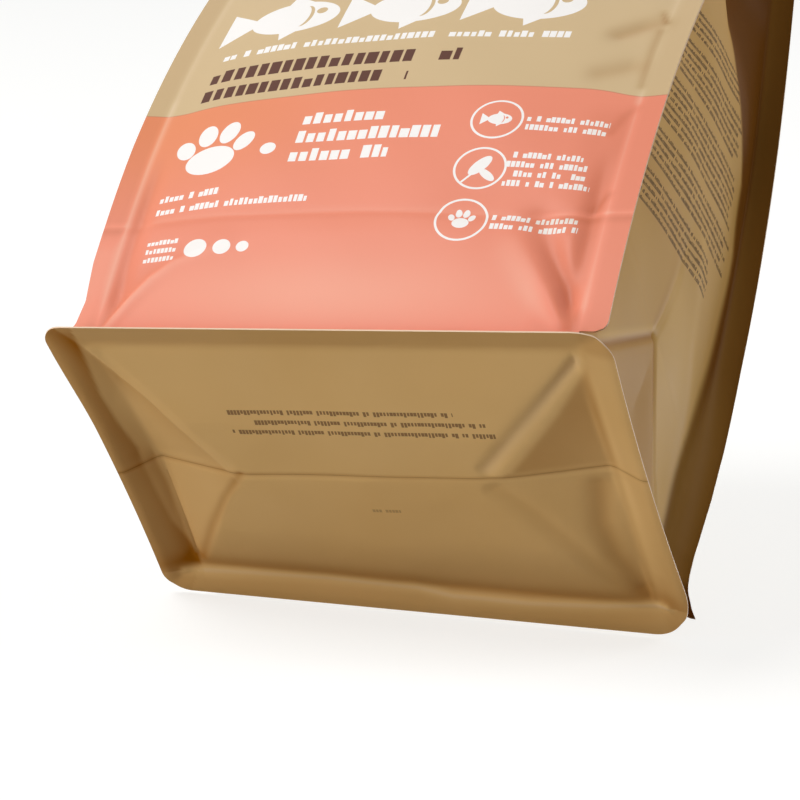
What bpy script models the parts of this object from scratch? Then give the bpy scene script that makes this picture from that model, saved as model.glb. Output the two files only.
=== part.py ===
"""A flat-bottom film pouch for dry cat food: filled, sealed along its top, standing upright.

Metres, +Z up, printed front towards -Y, origin on the table under the middle of the rim.
The pouch is one closed body. Loops of points run round it, anticlockwise from above: the
underside, the sealed rim, the four walls with a sealed fin at each upright corner, and the
flat seal across the top. Neighbouring loops are joined with faces.
"""

import math

import bmesh
import bpy
from mathutils import Matrix, Vector
from mathutils.geometry import interpolate_bezier

# The filled body, between the folds at its four upright corners
HEIGHT = 0.222
BODY_WIDTH = 0.1136
BODY_DEPTH = 0.0866
TOP_SPREAD = 0.0034  # how much wider the body is at the top, where it lies flat
BELLY_HANDLE = 0.0092  # how far the side view's curve is drawn out low down
BELLY_HANDLE_HEIGHT = 0.060
SHOULDER_HANDLE = 0.0052  # the same, at the shoulder
SHOULDER_HANDLE_DROP = 0.080  # below the top seal
PANEL_BULGE = 0.0046  # the middle of the front and back, past their corner folds
SIDE_BULGE = 0.0016

# Fins: two films sealed together along each upright corner
FIN_WIDTH = 0.0060
FIN_THICKNESS = 0.0005

# Seal across the top
SEAL_HEIGHT = 0.012
SEAL_THICKNESS = 0.0018

# Rim: the underside's film sealed to the walls all round, like a low skirt
RIM_REACH_SIDE = 0.0092
RIM_REACH_END = 0.0072
RIM_THICKNESS = 0.0006
RIM_CORNER_RADIUS = 0.0090
RIM_LIFT_CORNER = 0.0022  # how far the rim rises from its edge to its inner fold
RIM_LIFT_SIDE = 0.0033  # further rise half way along the left and right
RIM_BOW = 0.0014  # how far the left and right edges bend in
BACK_SKEW = 0.0042  # the back of the foot stands out on the right, in on the left
SKEW_HEIGHT = 0.045  # height at which that has died away

# Folds left from the flat pouch
UNDERSIDE_JOINT = 0.0300  # from the middle to where the underside's folds meet
REST_SHARE = 0.34  # share of the underside, front to back, that lies on the table
CREASE_DROP = 0.0050  # the front and back are creased this far below half the body's depth
CREASE_DEPTH = 0.0005
CREASE_WIDTH = 0.0050
SIDE_FOLD_DEPTH = 0.0010
GUSSET_START = 0.122  # height at which the sides begin to fold inwards
GUSSET_TIP = 0.040  # how deep they fold at the top seal
LIFT_FADE = 0.030  # height over which the side walls' feet straighten out

# Fineness of the faces
PANEL_STEPS = 20
SIDE_STEPS = 12
WALL_LEVELS = 38
FIN_POINTS = 4  # round a fin, from root to root
CURVE_POINTS = 240

# Worked out from the sizes above
HALF_WIDTH = BODY_WIDTH / 2
HALF_DEPTH = BODY_DEPTH / 2
FOOT_HEIGHT = RIM_LIFT_CORNER + RIM_THICKNESS
SEAL_FOOT = HEIGHT - SEAL_HEIGHT
CREASE_HEIGHT = HALF_DEPTH - CREASE_DROP
RIM_HALF_WIDTH = HALF_WIDTH + RIM_REACH_SIDE
RIM_HALF_DEPTH = HALF_DEPTH + RIM_REACH_END

FILM_COLOUR = (0.47, 0.32, 0.16, 1.0)


def clamp(value, low=0.0, high=1.0):
    return max(low, min(high, value))


def shares(steps):
    """Even steps from -1 to 1."""
    return [2 * i / steps - 1 for i in range(steps + 1)]


def wall_curve():
    """Points of the side view: half the depth, and the height."""
    foot = Vector((HALF_DEPTH, FOOT_HEIGHT, 0))
    belly = Vector((HALF_DEPTH + BELLY_HANDLE, BELLY_HANDLE_HEIGHT, 0))
    shoulder = Vector((HALF_DEPTH + SHOULDER_HANDLE, SEAL_FOOT - SHOULDER_HANDLE_DROP, 0))
    top = Vector((SEAL_THICKNESS / 2, SEAL_FOOT, 0))
    return interpolate_bezier(foot, belly, shoulder, top, CURVE_POINTS)


WALL_CURVE = wall_curve()


def half_depth_at(height):
    """Half the depth between the corner folds at a height."""
    for low, high in zip(WALL_CURVE, WALL_CURVE[1:]):
        if height <= high.y:
            share = clamp((height - low.y) / (high.y - low.y))
            return low.x + share * (high.x - low.x)
    return SEAL_THICKNESS / 2


def rise_share(height):
    """0 at the foot of the walls, 1 at the top seal."""
    return clamp((height - FOOT_HEIGHT) / (SEAL_FOOT - FOOT_HEIGHT))


def half_width_at(height):
    return HALF_WIDTH + TOP_SPREAD / 2 * rise_share(height)


def crease_at(height):
    """Depth of the crease across the front and back, printed by the fold under the foot."""
    distance = abs(height - CREASE_HEIGHT) / CREASE_WIDTH
    return CREASE_DEPTH * clamp(1 - distance)


def panel_point(share, height):
    """A point of the back panel: share -1 is its left fold and 1 its right one."""
    half_width = half_width_at(height)
    bulge = PANEL_BULGE * math.sin(math.pi * rise_share(height)) * (1 - share * share)
    ends = clamp((1 - abs(share)) * half_width / CREASE_WIDTH)
    return share * half_width, half_depth_at(height) + bulge - crease_at(height) * ends


def gusset_depth_at(height):
    """How deep the middle of a side is folded in."""
    share = clamp((height - GUSSET_START) / (SEAL_FOOT - GUSSET_START))
    return GUSSET_TIP * share * share


def side_point(share, height):
    """A point of the right side: share -1 is its front fold and 1 its back one."""
    y = share * (half_depth_at(height) - FIN_THICKNESS)
    middle = 1 - abs(share)
    above_folds = height - FOOT_HEIGHT - (HALF_DEPTH - abs(y))
    loose = clamp(above_folds / HALF_DEPTH)
    bulge = SIDE_BULGE * math.sin(math.pi * rise_share(height)) * (1 - share * share)
    fold = SIDE_FOLD_DEPTH * loose * clamp(1 - abs(y) / CREASE_WIDTH)
    return half_width_at(height) + bulge - fold - gusset_depth_at(height) * middle, y


def fin_points(height):
    """The fin at the right back corner, from its outer root round its tip to its inner root."""
    root = half_width_at(height)
    outer = half_depth_at(height)
    inner = outer - FIN_THICKNESS
    middle, tip = root + FIN_WIDTH / 2, root + FIN_WIDTH
    return [(middle, outer), (tip, outer), (tip, inner), (middle, inner)]


def round_the_pouch(panel, corner, side):
    """A loop from three parts: the back panel's points from left to right, the right back
    corner's from the panel to the side, and the right side's from front to back."""
    flipped = [(x, -y) for x, y in corner]
    loop = [(x, -y) for x, y in panel] + flipped + side
    loop += corner[::-1] + panel[::-1] + [(-x, y) for x, y in corner]
    loop += [(-x, y) for x, y in side[::-1]] + [(-x, -y) for x, y in corner[::-1]]
    return loop


def skewed(x, y, height=0.0):
    """The back of the foot is turned a little, which dies away with height."""
    backwards = clamp((y + HALF_DEPTH) / BODY_DEPTH)
    fade = clamp(1 - height / SKEW_HEIGHT)
    return x, y + BACK_SKEW * x / HALF_WIDTH * backwards * fade * fade


def foot_lift(y, height):
    """The side walls' feet are arched up with the rim's inner fold."""
    arch = RIM_LIFT_SIDE * clamp(1 - abs(y) / HALF_DEPTH)
    fade = clamp(1 - (height - FOOT_HEIGHT) / LIFT_FADE)
    return arch * fade * fade


def wall_loop(height):
    panel = [panel_point(share, height) for share in shares(PANEL_STEPS)]
    side = [side_point(share, height) for share in shares(SIDE_STEPS)]
    points = []
    for x, y in round_the_pouch(panel, fin_points(height), side):
        lifted = height + foot_lift(y, height)
        points.append(Vector((*skewed(x, y, height - FOOT_HEIGHT), lifted)))
    return points


def rim_outline(height):
    """The rim's outer edge: a rectangle with round corners, bowed in at the sides."""
    straight_x = RIM_HALF_WIDTH - RIM_CORNER_RADIUS
    straight_y = RIM_HALF_DEPTH - RIM_CORNER_RADIUS
    panel = [(share * straight_x, RIM_HALF_DEPTH) for share in shares(PANEL_STEPS)]
    side = [(RIM_HALF_WIDTH, share * straight_y) for share in shares(SIDE_STEPS)]
    corner = []
    for step in range(FIN_POINTS):
        angle = math.pi / 2 * (1 - (step + 1) / (FIN_POINTS + 1))
        corner.append((straight_x + RIM_CORNER_RADIUS * math.cos(angle),
                       straight_y + RIM_CORNER_RADIUS * math.sin(angle)))
    points = []
    for x, y in round_the_pouch(panel, corner, side):
        bow = RIM_BOW * (1 - (y / RIM_HALF_DEPTH) ** 2)
        bowed = x * (1 - bow / RIM_HALF_WIDTH)
        points.append(Vector((*skewed(bowed, y), height)))
    return points


def underside_height(x, y):
    """Flat facets: low in the middle, rising to the rim's inner fold, highest half way
    along the left and right, with folds from the four corners to two joints."""
    outwards = clamp(abs(y) / HALF_DEPTH)
    ramp = RIM_LIFT_CORNER * clamp((outwards - REST_SHARE) / (1 - REST_SHARE))
    fold_x = UNDERSIDE_JOINT + (HALF_WIDTH - UNDERSIDE_JOINT) * outwards
    edge = RIM_LIFT_CORNER + RIM_LIFT_SIDE * (1 - outwards)
    if outwards == 1 or abs(x) <= fold_x:
        return ramp
    across = clamp((abs(x) - fold_x) / (HALF_WIDTH - fold_x))
    return ramp + (edge - ramp) * across


def underside_grid(mesh):
    """Rows of vertices inside the rim's inner fold, from front to back."""
    grid = []
    for y_share in shares(SIDE_STEPS):
        row = []
        for x_share in shares(PANEL_STEPS):
            x, y = x_share * HALF_WIDTH, y_share * HALF_DEPTH
            row.append(mesh.verts.new((*skewed(x, y), underside_height(x, y))))
        grid.append(row)
    return grid


def grid_border(grid):
    """The grid's edge as a loop that matches the walls': a corner takes all its fin's points."""
    front, back = grid[0], grid[-1]
    right = [row[-1] for row in grid]
    left = [row[0] for row in grid]
    return (front + FIN_POINTS * [front[-1]] + right + FIN_POINTS * [back[-1]]
            + back[::-1] + FIN_POINTS * [back[0]] + left[::-1] + FIN_POINTS * [front[0]])


def add_face(mesh, corners):
    """A face, unless its corners have run together."""
    kept = [v for i, v in enumerate(corners) if v is not corners[i - 1]]
    if len(set(kept)) >= 3:
        mesh.faces.new(kept)


def join_loops(mesh, lower, upper):
    for i in range(len(lower)):
        j = (i + 1) % len(lower)
        add_face(mesh, [lower[i], lower[j], upper[j], upper[i]])


def close_grid(mesh, grid):
    for front, back in zip(grid, grid[1:]):
        for i in range(PANEL_STEPS):
            add_face(mesh, [front[i], back[i], back[i + 1], front[i + 1]])


def seal_members(loop):
    """The points of a wall loop that carry on into the top seal, and the two runs between
    the fins' inner tips, which end under it."""
    first = PANEL_STEPS + 1 + FIN_POINTS // 2
    last = first + SIDE_STEPS + FIN_POINTS
    half = len(loop) // 2
    runs = [loop[start + first:start + last + 1] for start in (0, half)]
    kept = loop[:first + 1] + loop[last:half + first + 1] + loop[half + last:]
    return kept, runs


def build_pouch():
    mesh = bmesh.new()
    grid = underside_grid(mesh)
    close_grid(mesh, grid)
    loop = grid_border(grid)
    wall_heights = [FOOT_HEIGHT + (SEAL_FOOT - FOOT_HEIGHT) * i / WALL_LEVELS
                    for i in range(WALL_LEVELS + 1)]
    rings = [rim_outline(0.0), rim_outline(RIM_THICKNESS)]
    rings += [wall_loop(height) for height in wall_heights]
    for ring in rings:
        above = [mesh.verts.new(point) for point in ring]
        join_loops(mesh, loop, above)
        loop = above
    kept, slots = seal_members(loop)
    for slot in slots:
        add_face(mesh, slot)
    top = [mesh.verts.new((v.co.x, v.co.y, HEIGHT)) for v in kept]
    join_loops(mesh, kept, top)
    add_face(mesh, top)
    bmesh.ops.triangulate(mesh, faces=mesh.faces[:], ngon_method="EAR_CLIP")
    data = bpy.data.meshes.new("pouch")
    mesh.to_mesh(data)
    mesh.free()
    return data


def centre_on_origin(data):
    """The skewed rim reaches further back than forward: its box is centred on the origin."""
    ys = [v.co.y for v in data.vertices]
    xs = [v.co.x for v in data.vertices]
    middle = Vector((max(xs) + min(xs), max(ys) + min(ys), 0)) / 2
    data.transform(Matrix.Translation(-middle))


def film_material():
    material = bpy.data.materials.new("printed_film")
    material.use_nodes = True
    shader = material.node_tree.nodes["Principled BSDF"]
    shader.inputs["Base Color"].default_value = FILM_COLOUR
    shader.inputs["Roughness"].default_value = 0.42
    shader.inputs["Metallic"].default_value = 0.0
    return material


def main():
    for old in list(bpy.data.objects):
        bpy.data.objects.remove(old)
    pouch = bpy.data.objects.new("pouch", build_pouch())
    centre_on_origin(pouch.data)
    pouch.data.materials.append(film_material())
    pouch.data.shade_smooth()
    pouch.data.set_sharp_from_angle(angle=math.radians(35))
    bpy.context.scene.collection.objects.link(pouch)


main()
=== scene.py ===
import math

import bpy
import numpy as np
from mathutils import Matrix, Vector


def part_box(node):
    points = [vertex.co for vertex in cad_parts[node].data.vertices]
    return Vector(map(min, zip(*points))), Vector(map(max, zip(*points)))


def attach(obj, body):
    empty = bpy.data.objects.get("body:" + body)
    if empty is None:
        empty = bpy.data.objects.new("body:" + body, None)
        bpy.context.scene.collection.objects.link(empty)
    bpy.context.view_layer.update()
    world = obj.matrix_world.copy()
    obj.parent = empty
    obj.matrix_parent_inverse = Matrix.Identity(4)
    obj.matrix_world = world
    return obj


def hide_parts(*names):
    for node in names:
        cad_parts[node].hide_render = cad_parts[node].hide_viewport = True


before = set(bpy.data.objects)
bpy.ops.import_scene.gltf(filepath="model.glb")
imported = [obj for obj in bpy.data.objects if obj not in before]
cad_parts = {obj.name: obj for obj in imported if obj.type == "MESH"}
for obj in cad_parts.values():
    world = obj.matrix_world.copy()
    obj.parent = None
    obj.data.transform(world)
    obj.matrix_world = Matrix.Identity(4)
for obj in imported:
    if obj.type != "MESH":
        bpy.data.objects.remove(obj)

# A filled flat-bottom pouch of printed film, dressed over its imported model.
# Metres, +Z up, printed front towards -Y. Five films make it: front, back, two gussets
# and the underside. Each is a grid laid over the model's shape, bent and dented as the real
# film is, and given its own thickness.

LOW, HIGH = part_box("pouch")
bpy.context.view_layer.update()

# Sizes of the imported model
HEIGHT = 0.222
SEAL_FOOT = 0.210
FOOT_HEIGHT = 0.0028
HALF_WIDTH = 0.0568
HALF_DEPTH = 0.0433
TOP_SPREAD = 0.0034
WALL_HANDLES = [(0.0433, 0.0028), (0.0525, 0.060), (0.0485, 0.130), (0.0009, 0.210)]
PANEL_BULGE = 0.0046
SIDE_BULGE = 0.0016
FIN_WIDTH = 0.0060
REACH_SIDE = 0.0092
REACH_END = 0.0072
LEAST_CORNER = 0.0055
# The rim's corners, by side and end: their radii across, and front to back
CORNER_RADII = {(-1, -1): (0.0055, 0.0055), (1, -1): (0.0092, 0.0092),
                (-1, 1): (0.0065, 0.0065), (1, 1): (0.0115, 0.0170)}
RIM_BOW = 0.0014
LEFT_CORNER_OUT = 0.0010  # how far the rim's left front corner stands out
BACK_SKEW = 0.0050
SKEW_HEIGHT = 0.045
GUSSET_START = 0.122
GUSSET_TIP = 0.040
RIM_HALF_WIDTH = HALF_WIDTH + REACH_SIDE
RIM_HALF_DEPTH = HALF_DEPTH + REACH_END
MIDDLE_Y = LOW.y + RIM_HALF_DEPTH  # the body's middle, front to back

# The films
FILM = 0.00022
LAYER = 0.0005  # from one film to the one sealed against it
RIM_FILM = 0.00032
SEAL_PINCH = 0.0003
TWO_FILM_PINCH = 0.00033
FLARE = 0.0016  # height over which a wall turns out into the rim
FIN_FOOT = 0.0066  # where the free lower end of the right front fin is
LOW_FIN_FOOT = 0.0045  # and those of the other three
FIN_ROUNDING = 0.0025
FRONT_EDGE_LIFT = 0.0022
BACK_EDGE_LIFT = 0.0030
LEFT_EDGE_LIFT = 0.0057
RIGHT_EDGE_LIFT = 0.0047
RIM_GAP = 0.00004  # between the rim's own film and a wall's, which lies on it
FLARE_REACH = 0.0030  # how far out over the rim a wall's turn goes
BACK_FIN_SPAN = 0.0095  # width of a gusset's back fin, with the fold that it leans out of
SLACK_DEPTH = 0.00009
SLACK_LENGTH = 0.062
SMOOTH_ANGLE = 42.0
LEFT_JOINT = 0.0337  # where the folds of the underside meet
RIGHT_JOINT = 0.0276

# Camera and the floor that it looks down on: the pouch is tipped back on its rim
CAMERA_PLACE = (0.26875, -0.56484, -0.45460)
CAMERA_TURN = (128.756, -13.577, 14.853)
LENS = 152.4
FLOOR_TILT = 51.0
FLOOR_TURN = 5.2  # the rim's back edge, on which the pouch is tipped, runs this much askew
FLOOR_Y = 0.0494  # where that edge crosses the middle

# Cells of the films' grids, in metres, and the underside's number of places each way
RIM_CELL = 0.0006
LOW_CELL = 0.00078
HIGH_CELL = 0.0013
SEAL_CELL = 0.0008
CELL_CHANGE = 0.1  # height from which the cells are wider
FIN_CELL = 0.001
PANEL_CELL = 0.00072
GUSSET_CELL = 0.0008
UNDERSIDE_COLUMNS = 241
UNDERSIDE_ROWS = 185
FOLD_ROUNDING = 1.3  # in cells
CUT_MARGIN = 0.0001  # how far inside its root a fin's lower end is cut off

# Folds: x and z on the front, y and z on a gusset, x and y on the underside, in millimetres
FRONT_FOLD = [(-64.0, 34.4), (-56.0, 34.6), (-34.0, 36.6), (0.0, 37.3), (36.0, 36.6),
              (50.0, 37.6), (57.0, 38.2), (64.0, 38.4)]
LEFT_FRONT_FOLD = [(-55.6, 4.5), (-54.6, 6.2), (-51.0, 12.6), (-46.4, 19.1), (-41.9, 23.2),
                   (-31.9, 27.6)]
RIGHT_FRONT_VALLEY = [(57.0, 5.0), (51.3, 18.4), (46.8, 26.4), (44.5, 31.0), (42.5, 36.0)]
GUSSET_FRONT_DIAGONAL = [(-2.0, 42.5), (-32.0, 13.0), (-43.0, 1.0)]
GUSSET_BACK_DIAGONAL = [(-2.0, 42.5), (8.5, 32.0), (22.6, 20.0), (43.0, 1.0)]
LEFT_STRIP_FOLD = [(-59.6, -46.0), (-60.3, -25.8), (-59.5, -15.3), (-58.4, -5.0), (-59.0, 1.0),
                   (-58.2, 21.5), (-56.1, 31.0), (-55.6, 38.0)]
LEFT_FRONT_DIAGONAL = [(-62.6, -49.5), (-58.5, -41.8), (-53.8, -30.8), (-48.0, -22.2),
                       (-42.4, -11.6), (-36.1, 0.6)]
LEFT_BACK_DIAGONAL = [(-33.4, 0.1), (-39.9, 8.8), (-46.7, 20.1), (-54.5, 34.8)]
LEFT_BACK_LINE = [(-56.0, 0.2), (-55.2, 8.2), (-55.5, 25.2), (-55.7, 33.9)]
RIGHT_FRONT_DIAGONAL = [(27.6, -3.7), (41.3, -20.4), (49.1, -30.2), (56.7, -39.4)]
RIGHT_BACK_DIAGONAL = [(28.2, 3.4), (34.8, 12.6), (42.4, 25.6), (48.7, 37.3), (54.8, 44.6)]
RIGHT_BACK_HOLLOW = [(51.5, 5.6), (49.5, 18.2), (50.8, 29.2), (54.4, 40.8)]
# Dents at the root of the front's right fin, from the top down
HIGH_DENT = [(47.5, 97.5), (51.4, 100.5), (56.0, 103.3)]
HIGH_NICK = [(55.5, 107.4), (57.2, 103.4)]
ROOT_HOLLOW = [(56.6, 99.6), (56.3, 93.0), (56.5, 85.0), (56.7, 79.0)]
MIDDLE_DENT = [(46.3, 82.5), (49.7, 84.1), (53.2, 85.8)]
PINK_DENT = [(57.4, 71.4), (55.4, 68.5), (53.6, 62.7)]
LOW_DENT = [(56.4, 43.9), (55.2, 41.9), (53.8, 39.3)]
BACK_RIDGE = [(-60.0, 38.8), (-56.2, 39.1), (-42.7, 39.7), (-23.8, 40.9), (-1.6, 43.1),
              (7.1, 45.2), (25.2, 46.8), (43.4, 47.4), (56.1, 47.2), (59.0, 47.0)]


def clamp(value, low=0.0, high=1.0):
    return np.clip(value, low, high)


def smooth(value, low, high):
    share = clamp((value - low) / (high - low))
    return share * share * (3 - 2 * share)


def bell(distance, width):
    return np.exp(-(distance / width) ** 2)


def wall_curve(steps=200):
    """Points of the side view: half the depth, and the height."""
    t = np.linspace(0, 1, steps)[:, None]
    a, b, c, d = (np.array(p) for p in WALL_HANDLES)
    return (1 - t) ** 3 * a + 3 * (1 - t) ** 2 * t * b + 3 * (1 - t) * t * t * c + t ** 3 * d


WALL = wall_curve()


def half_depth_at(z):
    return np.interp(z, WALL[:, 1], WALL[:, 0])


def rise_share(z):
    return clamp((z - FOOT_HEIGHT) / (SEAL_FOOT - FOOT_HEIGHT))


def half_width_at(z):
    return HALF_WIDTH + TOP_SPREAD / 2 * rise_share(z)


def belly(z):
    return np.sin(math.pi * rise_share(z))


def line_distance(x, y, points):
    """Distance in metres to a line through points, more than 0 on its left, and the share of
    its length at the nearest place. The points of every line are in millimetres."""
    best = np.full(np.shape(x), np.inf)
    side = np.ones(np.shape(x))
    share = np.zeros(np.shape(x))
    points = [(px / 1000, py / 1000) for px, py in points]
    count = len(points) - 1
    for i, ((ax, ay), (bx, by)) in enumerate(zip(points, points[1:])):
        dx, dy = bx - ax, by - ay
        t = clamp(((x - ax) * dx + (y - ay) * dy) / (dx * dx + dy * dy))
        distance = np.hypot(x - ax - t * dx, y - ay - t * dy)
        nearer = distance < best
        best = np.where(nearer, distance, best)
        side = np.where(nearer, np.where(dx * (y - ay) - dy * (x - ax) < 0, -1, 1), side)
        share = np.where(nearer, (i + t) / count, share)
    return best * side, share


def distance_left(x, y, points):
    return line_distance(x, y, points)[0]


def stroke(x, y, points, width, widen=1.0, fade=0.0):
    """1 on a line, falling away beside it over the width, in millimetres. It widens along its
    length, and fades at its end."""
    distance, share = line_distance(x, y, points)
    across = width / 1000 * (1 + (widen - 1) * share)
    return bell(distance, across) * (1 - fade * share)


def one_sided(x, y, points, fall, rise, fade=0.0):
    """0 right of a line. On its left it climbs to 1 over fall, and is gone again past rise."""
    distance, share = line_distance(x, y, points)
    left = np.maximum(distance, 0) * 1000
    return smooth(left, 0, fall) * np.exp(-(left / rise) ** 2) * (1 - fade * share)


def crease(x, y, points, depth, width, widen=1.0, fade=0.0):
    """A rounded groove along a line, or a ridge where depth, in millimetres, is negative."""
    return -depth / 1000 * stroke(x, y, points, width, widen, fade)


def slack(x, z, seed):
    """The shallow uneven swell of film over dry food, in metres."""
    swell = 0.0
    for i in range(5):
        turn = seed * 1.7 + i * 1.31
        length = SLACK_LENGTH - 0.009 * i
        along = (x * math.cos(turn) + z * math.sin(turn)) / length
        swell = swell + np.sin(2 * math.pi * along + seed * 2.1 + i * i)
    return swell * SLACK_DEPTH * smooth(z, 0.200, 0.160)


# Making a film from a grid


def film_sheet(name, across, along, place, film_map, attributes):
    """A grid primitive with one vertex for each pair of across and along, laid where place
    says, with its map laid where film_map says. Each attribute's function gives its value. The
    piece comes back with each vertex's pair."""
    columns, rows = len(across) - 1, len(along) - 1
    bpy.ops.mesh.primitive_grid_add(x_subdivisions=columns, y_subdivisions=rows, size=2)
    piece = bpy.context.object
    piece.name = name
    piece.data.name = name
    mesh = piece.data
    flat = np.zeros(len(mesh.vertices) * 3)
    mesh.vertices.foreach_get("co", flat)
    flat = flat.reshape(-1, 3)
    i = np.rint((flat[:, 0] + 1) / 2 * columns).astype(int)
    j = np.rint((flat[:, 1] + 1) / 2 * rows).astype(int)
    u, v = across[i], along[j]
    x, y, z = place(u, v)
    mesh.vertices.foreach_set("co", np.stack([x, y, z], 1).ravel())
    corners = np.zeros(len(mesh.loops), int)
    mesh.loops.foreach_get("vertex_index", corners)
    map_u, map_v = film_map(u, v)
    uv = np.stack([map_u[corners], map_v[corners]], 1)
    mesh.uv_layers[0].name = "film"
    mesh.uv_layers[0].data.foreach_set("uv", uv.ravel())
    for label, value_at in attributes.items():
        values = np.clip(value_at(u, x, y, z), -1, 1)
        mesh.attributes.new(label, "FLOAT", "POINT").data.foreach_set("value", values)
    mesh.update()
    return piece, u, v


def cut_away(piece, cut):
    """Deletes the faces of which every corner is in cut, a mask over the vertices."""
    mesh = piece.data
    for part in (*mesh.polygons, *mesh.edges, *mesh.vertices):
        part.select = False
    for polygon in mesh.polygons:
        polygon.select = all(cut[i] for i in polygon.vertices)
    bpy.ops.object.mode_set(mode="EDIT")
    bpy.ops.mesh.select_mode(type="FACE")
    bpy.ops.mesh.delete(type="FACE")
    bpy.ops.object.mode_set(mode="OBJECT")


def finish_film(piece, thickness, material, edge_material, outwards):
    """Turns the faces outwards, gives the film its thickness inwards, and smooths it."""
    mesh = piece.data
    middle = mesh.polygons[len(mesh.polygons) // 2]
    if middle.normal.dot(outwards) < 0:
        bpy.ops.object.mode_set(mode="EDIT")
        bpy.ops.mesh.select_all(action="SELECT")
        bpy.ops.mesh.flip_normals()
        bpy.ops.object.mode_set(mode="OBJECT")
    mesh.materials.append(material)
    mesh.materials.append(edge_material)
    wall = piece.modifiers.new("wall", "SOLIDIFY")
    wall.thickness = thickness
    wall.offset = -1
    wall.material_offset_rim = 1
    bpy.ops.object.modifier_apply(modifier=wall.name)
    bpy.ops.object.shade_smooth_by_angle(angle=math.radians(SMOOTH_ANGLE))
    piece.select_set(False)
    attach(piece, "root")
    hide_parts("pouch")


def spaced(ends, cells):
    """Places from the first end to the last, each stretch in steps of about its own cell."""
    stretches = [np.linspace(start, end, max(2, round((end - start) / cell) + 1))[1:]
                 for start, end, cell in zip(ends, ends[1:], cells)]
    return np.concatenate([ends[:1], *stretches])


def film_rows(reach):
    """Heights up a wall film: out over the rim below 0, close low down, wider above."""
    return spaced((-reach, 0, CELL_CHANGE, SEAL_FOOT, HEIGHT),
                  (RIM_CELL, LOW_CELL, HIGH_CELL, SEAL_CELL))


# The shape of the walls


def fin_reach(z):
    """How far the right front fin stands out: its free lower end has a round corner."""
    above = clamp((z - FIN_FOOT) / FIN_ROUNDING)
    return FIN_WIDTH - FIN_ROUNDING * (1 - np.sqrt(1 - (1 - above) ** 2))


def across_at(u, z, reach):
    """x of a place across a front or back film: the panel, then a fin on either side."""
    panel = clamp(u, -HALF_WIDTH, HALF_WIDTH) / HALF_WIDTH
    fin = clamp((np.abs(u) - HALF_WIDTH) / FIN_WIDTH)
    return panel * half_width_at(z) + np.sign(u) * fin * reach


def out_over_rim(v, reach, edge_lift, bow=0.0):
    """Below height 0 a wall film lies on the rim: how far out it is, and its height."""
    out_share = clamp(-v / reach)
    rim_height = edge_lift * (1 - out_share) + RIM_FILM + RIM_GAP
    turn = FLARE * (1 - clamp(out_share * reach / FLARE_REACH)) ** 2
    low = rim_height + turn
    foot = edge_lift + RIM_FILM + FLARE
    return out_share * (reach - bow), np.where(v < 0, low, foot + v)


def corner_radii(x, y):
    """Radii of the rim's corner nearest to a place: across, and front to back."""
    across = np.full(np.shape(x), LEAST_CORNER)
    along = np.full(np.shape(x), LEAST_CORNER)
    for (right, back), (size_x, size_y) in CORNER_RADII.items():
        here = (np.sign(x) == right) & (np.sign(y) == back)
        across = np.where(here, size_x, across)
        along = np.where(here, size_y, along)
    return across, along


def set_back(place, half, radius, depth):
    """How far a round corner sets the rim's edge back, at a place along that edge."""
    share = clamp((np.abs(place) - half + radius) / radius)
    return depth * (1 - np.sqrt(1 - share * share))


def front_relief(x, z):
    """Dents and folds of the front, in metres outwards."""
    relief = slack(x, z, 1.0) * smooth(z, 0.005, 0.03)
    relief += crease(x, z, FRONT_FOLD, 0.25, 1.0)
    relief += 0.0005 * smooth(z, 0.0385, 0.030) * bell(z - 0.03, 0.02)
    # Low down on the left the film drops beside a fold that runs up out of the corner
    relief += crease(x, z, LEFT_FRONT_FOLD, -0.7, 1.6, 2.2, 0.8)
    relief -= 0.0016 * one_sided(x, z, LEFT_FRONT_FOLD, 1.8, 6.5, 1.0)
    # On the right a valley widens upwards between two ridges, and dents lie at the fin's root
    for fold in ((RIGHT_FRONT_VALLEY, 1.7, 1.7, 2.3, 0.5),
                 ([(53.6, 8), (47.2, 17.5), (41.5, 26), (36, 34)], -0.7, 2.0, 2.2, 0.8),
                 ([(57.5, 12), (54.4, 22), (51.5, 31)], -0.4, 1.8, 1.6, 0.5),
                 (LOW_DENT, 0.35, 1.0), (HIGH_DENT, 0.7, 2.6), (MIDDLE_DENT, 0.45, 2.8),
                 (HIGH_NICK, 0.4, 1.0), (ROOT_HOLLOW, 0.4, 1.4), (PINK_DENT, 0.3, 1.2)):
        relief += crease(x, z, *fold)
    return relief


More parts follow.
